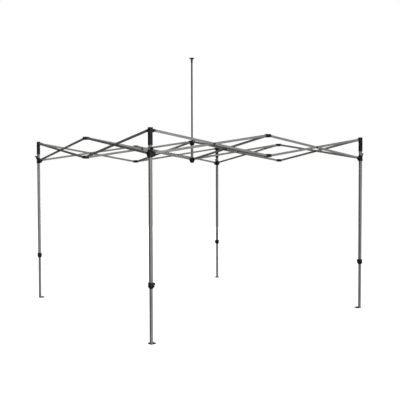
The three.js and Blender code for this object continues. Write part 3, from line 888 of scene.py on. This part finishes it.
# %% Pull pins
def fluted(levels, flutes, axis, centre, sides):
    """Turned form with flutes; each level is (radius, height, depth of the flute as a share, wear)."""
    angle = np.arange(sides) * 2 * np.pi / sides
    unit = circle(1, sides)[0]
    dip = (0.5 + 0.5 * np.cos(flutes * angle))[:, None]
    grid = np.array([stand(unit * r * (1 - depth * dip), h, axis) for r, h, depth, _ in levels])
    wear = np.array(levels, float)[:, 3:] * np.ones(grid.shape[:2])
    return skin(grid + np.asarray(centre, float), wear)


knob_base = -30.3
knob_levels = [
    (5.5, 0, 0, 0), (7.2, -0.6, 0, 0.6), (7.4, -3.4, 0, 0), (8.6, -4.6, 0.05, 0.7), (9.0, -6, 0.09, 0.6),
    (9.0, -15, 0.09, 0.6), (8.4, -16.8, 0.05, 0.9), (6.8, -17.8, 0, 0.5), (3.5, -18, 0, 0),
]
knob = fluted(knob_levels, 12, "y", (0, knob_base, pull_pin_z), 72)
shank_levels = [(3.4, -slider_bore), (4, -slider_bore - 0.8), (4, knob_base - 1)]
shank = skin(*turned(shank_levels, "y", pin_at, 24, [1, 0.8, 0]))
slider_shells = [slider_body, *slider_lug, *map(swapped, slider_lug), pull_boss, pull_collar]
pin_body = "pull_pin_{}"
at_corners(
    ("slider_moulding_{}", slider_shells, nylon, "slider_{}", "bracket_plastic", "slider_{}"),
    ("slider_bolts_{}", [slider_nut, swapped(slider_nut)], zinc, "slider_{}", "fastener_steel"),
    (pin_body + "_knob", [knob], knob_nylon, pin_body, "control_plastic", pin_body),
    (pin_body + "_shank", [shank], zinc, pin_body, "fastener_steel"),
)
print(len(made), "pieces at the corners")

# %% [markdown]
# ## Scissor bars
#
# All 24 bars are one length, so they are one shape put down 24 times. A bar is a flat steel tube, cut
# square and closed by a pressed-in plug with a round nose, so that it can turn in its bracket. Of each
# crossing pair, one bar carries the rivet, with a nylon cap under each head and a washer between.

# %% One bar
tube_end = 5
face = bar_thick / 2
bar_outline = rectangle(face, bar_height / 2, bar_corner)
bar_tube = tube(bar_outline, 1.0, -tube_end, bar_length + tube_end, "x", 0.3)
nose_angle = np.linspace(math.radians(114), math.radians(246), 9)
nose = 12.2 * np.stack([np.cos(nose_angle), np.sin(nose_angle)], 1)
plug_points = np.vstack([nose, [(-3, nose[-1, 1]), (-3, nose[0, 1])]])
plug = slab((plug_points, np.zeros(len(plug_points))), 0.4 - face, face - 0.4, 1.6, "y", 4)
far_plug = moved(mirrored_x(plug), (bar_length, 0, 0))
beyond = face + 1 + bar_thick + 0.3
crossing = (bar_length / 2, 0, 0)
crossing_caps = [domed(12.8, 4.2, at, way, "y", crossing, 40) for at, way in ((-face, -1), (beyond, 1))]
crossing_caps.append(skin(*turned([(9, face), (9, face + 1)], "y", crossing, 32)))
crossing_rivet = [
    domed(2.8, 1.2, at, way, "y", crossing, 28, 0.9) for at, way in ((-face - 4, -1), (beyond + 4, 1))
]


def tilted(shell, slope):
    """The shell turned about the y axis through its first pivot: a positive slope lowers the +x end."""
    x, y, z = shell[0].T
    c, s = math.cos(slope), math.sin(slope)
    return np.stack([x * c + z * s, y, z * c - x * s], 1), shell[1], shell[2]


def bar(name, x0, y, falls, turns, at, with_rivet):
    """Puts down one bar from x0, falling or rising along x, in the quarter that `turns` gives."""
    slope = bar_slope if falls else -bar_slope
    first = np.array([x0, y, high_z if falls else low_z]) + at

    def down(shells):
        return placed([moved(tilted(s, slope), first) for s in shells], turns)

    piece(f"{name}_tube", down([bar_tube]), bar_coat, name, [name])
    piece(f"{name}_plugs", down([plug, far_plug]), plug_nylon, name)
    if with_rivet:
        piece(f"{name}_crossing_caps", down(crossing_caps), knob_nylon, name)
        piece(f"{name}_crossing_rivet", down(crossing_rivet), zinc, name)


# %% All 24 bars
corner_start = -leg_half + corner_pivot
for k, (_, side) in enumerate(quarters):
    bar(f"{side}_start_top_bar", corner_start, -plane, True, k, side_at, True)
    bar(f"{side}_start_slider_bar", corner_start, plane, False, k, side_at, False)
    bar(f"{side}_end_top_bar", connector_pivot, -plane, False, k, side_at, True)
    bar(f"{side}_end_slider_bar", connector_pivot, plane, True, k, side_at, False)
    bar(f"{side}_spoke_upper_bar", hub_pivot, -plane, True, k + 3, 0, True)
    bar(f"{side}_spoke_lower_bar", hub_pivot, plane, False, k + 3, 0, False)
print("bars:", sum(o.name.endswith("_bar_tube") for o in made))

# %% [markdown]
# ## Connectors
#
# In the middle of each side an upper and a lower connector join two side bars and one spoke. Each is a
# pair of plates with a core between them and a smaller fork that points at the mast. The outer plate is
# hollowed like the lugs; a rib runs along its middle, and round bosses carry the rivets.

# %% Fork and connector shapes
near, far = 0.5, 0.5 + bar_thick
cheek = 4
outer_face = far + near + cheek
fork_nose = 7.5
fork_half_height = 17.6
swing = 14.5


def fork_rivets(pivot, side, back_face):
    """A round rivet head on the outside of each cheek."""
    return [
        domed(2.8, 1.6, side * outer_face, side, "y", (pivot, 0, 0), 24, 0.9),
        domed(2.8, 1.6, -side * back_face, -side, "y", (pivot, 0, 0), 24, 0.9),
    ]


def fork_shells(pivot, core, side, nose=fork_nose):
    """Two cheeks that hold a bar on the +y side (side 1) or the -y side (side -1), opening along +x."""
    x0, x1, h = core - 1, pivot + nose, fork_half_height
    outline = rounded([(x0, -h), (x1, -h), (x1, h), (x0, h)], [1, 7, 7, 1], 6)
    spans = [(far + near, outer_face), (-cheek, 0)]
    cheeks = [slab(outline, *sorted((side * a, side * b)), 0.9, "y") for a, b in spans]
    return cheeks, fork_rivets(pivot, side, cheek)


def connector_shells(side):
    """Nylon and steel shells of a connector about its own middle; side is where its side bars lie.

    Two plates hold the side bars and a core joins them. The outer plate is hollowed, with a rib along it
    and bosses round its rivets. A fork for the spoke is turned a quarter from them.
    """
    core = connector_pivot - swing
    reach = connector_pivot + fork_nose
    wide = rectangle(reach, fork_half_height, 4.5, 6)
    floor = bar_thick - 6.5
    thin = slab(wide, *sorted((side * (far + near), side * outer_face)), 1.0, "y")
    thick = pocketed(wide, 0, -side * bar_thick, 2.6, 6, 1.0, "y")
    rib_outline = rectangle(reach - 2, 1.3, 0.5, 2)
    rib = slab(rib_outline, *sorted((-side * floor, -side * (bar_thick + 0.3))), 0.4, "y", 2)
    boss_levels = [(7, -side * floor), (6.6, -side * bar_thick), (6, -side * (bar_thick + 0.5))]
    pivots = (-connector_pivot, connector_pivot)
    bosses = [skin(*turned(boss_levels, "y", (x, 0, 0), 28, [0, 0.7, 0.9])) for x in pivots]
    spine = sorted((side * (outer_face - 1), -side * (bar_thick - 7)))
    middle = slab(rectangle(core, fork_half_height - 0.4, 2), *spine, 0.6, "y")
    spoke_cheeks, spoke_rivets = fork_shells(spoke_connector_pivot, core, -side)
    bridge = slab(rectangle(core, fork_half_height - 1.5, 2), core - 4, core + 1.5, 0.8, "x")
    spoke_shells = [quarter_turned(s, 1) for s in (*spoke_cheeks, bridge)]
    steel_shells = [quarter_turned(s, 1) for s in spoke_rivets]
    for x in pivots:
        steel_shells += fork_rivets(x, side, bar_thick + 0.4)
    return [thin, thick, rib, *bosses, middle, *spoke_shells], steel_shells


# %% Put the connectors down
for word, side_sign, z in (("upper", 1, high_z), ("lower", -1, low_z)):
    nylon_shells, steel_shells = connector_shells(side_sign)
    for k, (_, side) in enumerate(quarters):
        body = f"{side}_{word}_connector"
        at = side_at + [0, 0, z]
        piece(f"{body}_moulding", placed(nylon_shells, k, at), nylon, body, [body])
        piece(f"{body}_rivets", placed(steel_shells, k, at), zinc, body)

# %% [markdown]
# ## Hubs and mast
#
# The four inner spans meet at two hubs. The upper hub is a ring that the mast's square tube runs through,
# capped by a round flange; the lower hub is closed below by a bowl and carries the mast. The round upper
# mast slides in the square lower one through a nylon bush, and ends in the broad cap that lifts the cloth.

# %% Hubs
hub_core = hub_pivot - swing


def four_ways(shells):
    """The shells in all four directions."""
    return [quarter_turned(s, turn) for turn in range(4) for s in shells]


upper_bore, lower_bore = 13.2, 12.8
upper_core = ring(*squares([
    (upper_bore, 2.6, 17, 0), (upper_bore, 2.6, -42, 0), (upper_bore + 0.6, 3, -43, 0.4),
    (15.6, 5, -43, 0.8), (16.6, 5.4, -42, 1), (18.2, 6, -36, 0.1), (hub_core, 6.4, -30, 0.4),
    (hub_core, 6.4, -28, 0.1), (hub_core, 6.4, 15, 0), (hub_core, 6.4, 17, 0),
    (upper_bore + 0.6, 3, 18, 0.4),
]))
post = slab((circle(7, 28)[0] + [15, -17.5], np.zeros(28)), -37, 12, 5, "z", 5)
flange = ring(*turned([
    (19, 13.7), (28.4, 13.7), (29.3, 14.3), (29.4, 15.2), (28.7, 16.5), (26.8, 17.6), (24.6, 18), (19, 18),
], "z", (0, 0, 0), 56, [0, 0.5, 1, 1, 0.8, 0.4, 0.2, 0]))
bowl_rows, bowl_wear = turned([
    (8, -50), (16, -50), (18.6, -49.2), (21, -47), (25.4, -42.5), (28.8, -38), (30.8, -32), (31.7, -26),
    (32, -20), (32, -15), (31.4, -13.9), (30, -13.7), (12, -13.7),
], "z", (0, 0, 0), 56, [0, 0.2, 0.9, 0.5, 0, 0, 0, 0, 0.1, 0.8, 1, 0.5, 0])
around = np.arange(56) * 2 * np.pi / 56
dip = 0.1 * (0.5 - 0.5 * np.cos(4 * around))
dip_share = np.clip((-bowl_rows[:, 0, 2] - 15) / 20, 0, 1)
bowl_rows[..., :2] *= (1 - dip[None, :] * dip_share[:, None])[..., None]
bowl = skin(bowl_rows, bowl_wear)
lower_core = ring(*squares([
    (lower_bore, 2.6, 15, 0), (lower_bore, 2.6, -39, 0), (hub_core - 1, 6, -39, 0),
    (hub_core, 6.4, -36, 0), (hub_core, 6.4, 13.5, 0.2), (hub_core - 0.4, 6.2, 15.2, 0.9),
    (hub_core - 1.6, 5.6, 16, 0.8), (lower_bore + 0.8, 3.2, 16, 0.4),
]))
upper_cheeks, upper_rivets = fork_shells(hub_pivot, hub_core, -1)
lower_cheeks, lower_rivets = fork_shells(hub_pivot, hub_core, 1, 12.5)
for name, z, nylon_shells, rivets in (
    ("upper_hub", high_z, [upper_core, flange, *four_ways([post, *upper_cheeks])], upper_rivets),
    ("lower_hub", low_z, [lower_core, bowl, *four_ways(lower_cheeks)], lower_rivets),
):
    at = (0, 0, z)
    piece(f"{name}_moulding", placed(nylon_shells, 0, at), nylon, name, [name])
    piece(f"{name}_rivets", placed(four_ways(rivets), 0, at), zinc, name)

# %% Mast's square tube and bush
square_low, square_high = heights("mast_lower_tube")
rod_low = heights("mast_upper_tube")[0]
mast_half, rod = 12.5, 10.5
mast_outline = rectangle(mast_half, mast_half, 2.6)
square_tube = tube(mast_outline, 1.5, square_low, square_high - 5)
square_points = resampled(mast_outline[0], 64)
round_points = square_points / np.linalg.norm(square_points, axis=1)[:, None] * (rod + 0.7)
inner_points = inset(square_points, 2)
bush_grid = np.array([stand(points, square_high - down, "z") for points, down in (
    (square_points, 5), (square_points, 0.8), (inset(square_points, 0.8), 0), (round_points * 1.02, 0),
    (round_points, 0.8), (round_points, 16), (inner_points, 16), (inner_points, 5),
)])
bush_wear = np.array([0.2, 1, 1, 0.6, 0.3, 0, 0, 0])[:, None] * np.ones(bush_grid.shape[:2])
bush = ring(bush_grid, bush_wear)
piece("mast_square_tube", [square_tube], leg_coat, "lower_hub", ["mast_lower_tube"])
piece("mast_bush", [bush], nylon, "lower_hub")

# %% Mast's round tube and cap
cap_low = mast_top - 12
collar_low = cap_low - 45
rod_bore = rod - 1.2
rod_levels = [
    (rod_bore, rod_low + 0.4), (rod_bore + 0.4, rod_low), (rod - 0.4, rod_low), (rod, rod_low + 0.4),
    (rod, rod_low + 1.6), (rod, cap_low - 3), (rod, cap_low - 1), (rod_bore, cap_low - 1),
    (rod_bore, rod_low + 1.6),
]
round_tube = ring(*turned(rod_levels, "z", (0, 0, 0), 48, [0, 0, 1, 1, 0, 0, 0, 0, 0]))
cap_levels = [
    (rod + 0.1, -1), (rod + 0.1, -45), (12.2, -45), (12.9, -44.3), (13, -43), (13, -2.8), (13.5, -1.3),
    (14.5, -0.4), (16, 0), (29.5, 0), (31.3, 0.7), (32, 2.4), (32, 6), (31.4, 8.6), (29.8, 10.7),
    (27.2, 11.8), (24, 12), (6, 12),
]
cap_wear = [0, 0, 0.6, 1, 0, 0, 0, 0, 0, 0.3, 0.9, 0.6, 0.3, 0.8, 0.9, 0.4, 0, 0]
cap = skin(*turned(cap_levels, "z", (0, 0, cap_low), 56, cap_wear))
collar_screw = domed(3.4, 1.1, -12, -1, "y", (0, 0, collar_low + 16))
mast_body = "mast_upper_tube"
piece("mast_round_tube", [round_tube], mast_coat, mast_body, [mast_body])
piece("mast_cap", [cap], nylon, mast_body)
piece("mast_cap_screw", [collar_screw], zinc, mast_body)
triangles = sum(len(p.vertices) - 2 for o in made for p in o.data.polygons)
print(len(made), "pieces,", triangles, "triangles")

# %% [markdown]
# ## Studio
#
# The frame stands on a plain pale floor in a white surround. A broad light in front gives the faces
# that look that way a clear mid grey and leaves the ones on the left dark, which is what makes thin square
# tubes read as square. The surround and the floor look white but throw little light back, so the
# undersides stay dark; a Light Path node tells the camera's rays from the rest, on the stage only.
# A third light from behind lets the far sides read when somebody walks round the frame.

# %% Floor and surround
floor_corners = [(-60, -60, 0), (60, -60, 0), (60, 60, 0), (-60, 60, 0)]
floor_mesh = bpy.data.meshes.new("studio_floor")
floor_mesh.from_pydata(floor_corners, [], [(0, 1, 2, 3)])
studio_floor = bpy.data.objects.new("studio_floor", floor_mesh)
studio_floor.location.z = -0.5 * MM
bpy.context.scene.collection.objects.link(studio_floor)
studio_floor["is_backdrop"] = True
floor_paint = bpy.data.materials.new("Pale floor")
floor_paint.use_nodes = True
floor_tree = floor_paint.node_tree
floor_tree.nodes.remove(floor_tree.nodes["Principled BSDF"])
floor_out = floor_tree.nodes["Material Output"]
seen = add(floor_tree, "ShaderNodeLightPath").outputs["Is Camera Ray"]
pale = add(floor_tree, "ShaderNodeBsdfDiffuse", {"Color": (0.35, 0.35, 0.35, 1)})
glow = add(floor_tree, "ShaderNodeEmission", {"Color": (1, 1, 1, 1), "Strength": 0.97})
both = add(floor_tree, "ShaderNodeAddShader", {0: pale.outputs[0], 1: glow.outputs[0]})
dull = add(floor_tree, "ShaderNodeBsdfDiffuse", {"Color": (0.12, 0.12, 0.12, 1)})
choice = add(floor_tree, "ShaderNodeMixShader", {0: seen, 1: dull.outputs[0], 2: both.outputs[0]})
floor_tree.links.new(choice.outputs[0], floor_out.inputs["Surface"])
floor_mesh.materials.append(floor_paint)

surround_light = 0.27
world = bpy.data.worlds.new("White surround")
bpy.context.scene.world = world
world.use_nodes = True
world_tree = world.node_tree
backdrop = world_tree.nodes["Background"]
backdrop.inputs["Color"].default_value = (1, 1, 1, 1)
seen = add(world_tree, "ShaderNodeLightPath").outputs["Is Camera Ray"]
shares = {0: seen, 2: surround_light, 3: 1.0}
strength = add(world_tree, "ShaderNodeMix", shares, data_type="FLOAT").outputs[0]
world_tree.links.new(strength, backdrop.inputs["Strength"])

# %% Lights
def soft_light(name, place, aim, size, power):
    """Square area light of the given size in metres, pointing from its place at the aim."""
    data = bpy.data.lights.new(name, "AREA")
    data.size, data.energy = size, power
    lamp = bpy.data.objects.new(name, data)
    lamp.location = place
    lamp.rotation_euler = (Vector(aim) - Vector(place)).to_track_quat("-Z", "Y").to_euler()
    bpy.context.scene.collection.objects.link(lamp)
    return lamp


soft_light("Key", (-1.0, -13.0, 2.4), (0, 0, 1.1), 5.0, 850)
soft_light("Overhead", (0.5, -0.5, 8.0), (0, 0, 0), 6.0, 200)
soft_light("Back", (7.5, 9.5, 2.8), (0, 0, 1.1), 5.0, 520)

# %% [markdown]
# The camera stands about 8 m off at chest height and looks level, slightly down, along a diagonal of the
# frame. Its rotation is built from three unit vectors: forwards from heading and pitch, right from the
# heading alone, and up square to both; a last small roll turns right and up about the line of sight.

# %% Camera
camera_place = Vector((-4.5479, -6.7406, 1.6115))
heading, pitch, roll = math.radians(55.291), math.radians(-2.087), math.radians(-0.150)
level_way = Vector((math.cos(heading), math.sin(heading), 0))
forwards = math.cos(pitch) * level_way + Vector((0, 0, math.sin(pitch)))
right = Vector((math.sin(heading), -math.cos(heading), 0))
up = right.cross(forwards)
cos_roll, sin_roll = math.cos(roll), math.sin(roll)
right, up = cos_roll * right + sin_roll * up, cos_roll * up - sin_roll * right
camera_data = bpy.data.cameras.new("Camera")
camera_data.sensor_width = 36
camera_data.lens = 57.29
camera = bpy.data.objects.new("Camera", camera_data)
turn = Matrix((right, up, -forwards)).transposed().to_4x4()
camera.matrix_world = Matrix.Translation(camera_place) @ turn
bpy.context.scene.collection.objects.link(camera)
bpy.context.scene.camera = camera
bpy.context.scene.view_settings.view_transform = "Standard"

# %% Print both boxes
visual_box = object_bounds()
for kind, corners in (("CAD", cad_box), ("visual", visual_box)):
    print(kind, "box", [[round(v, 4) for v in corner] for corner in corners])
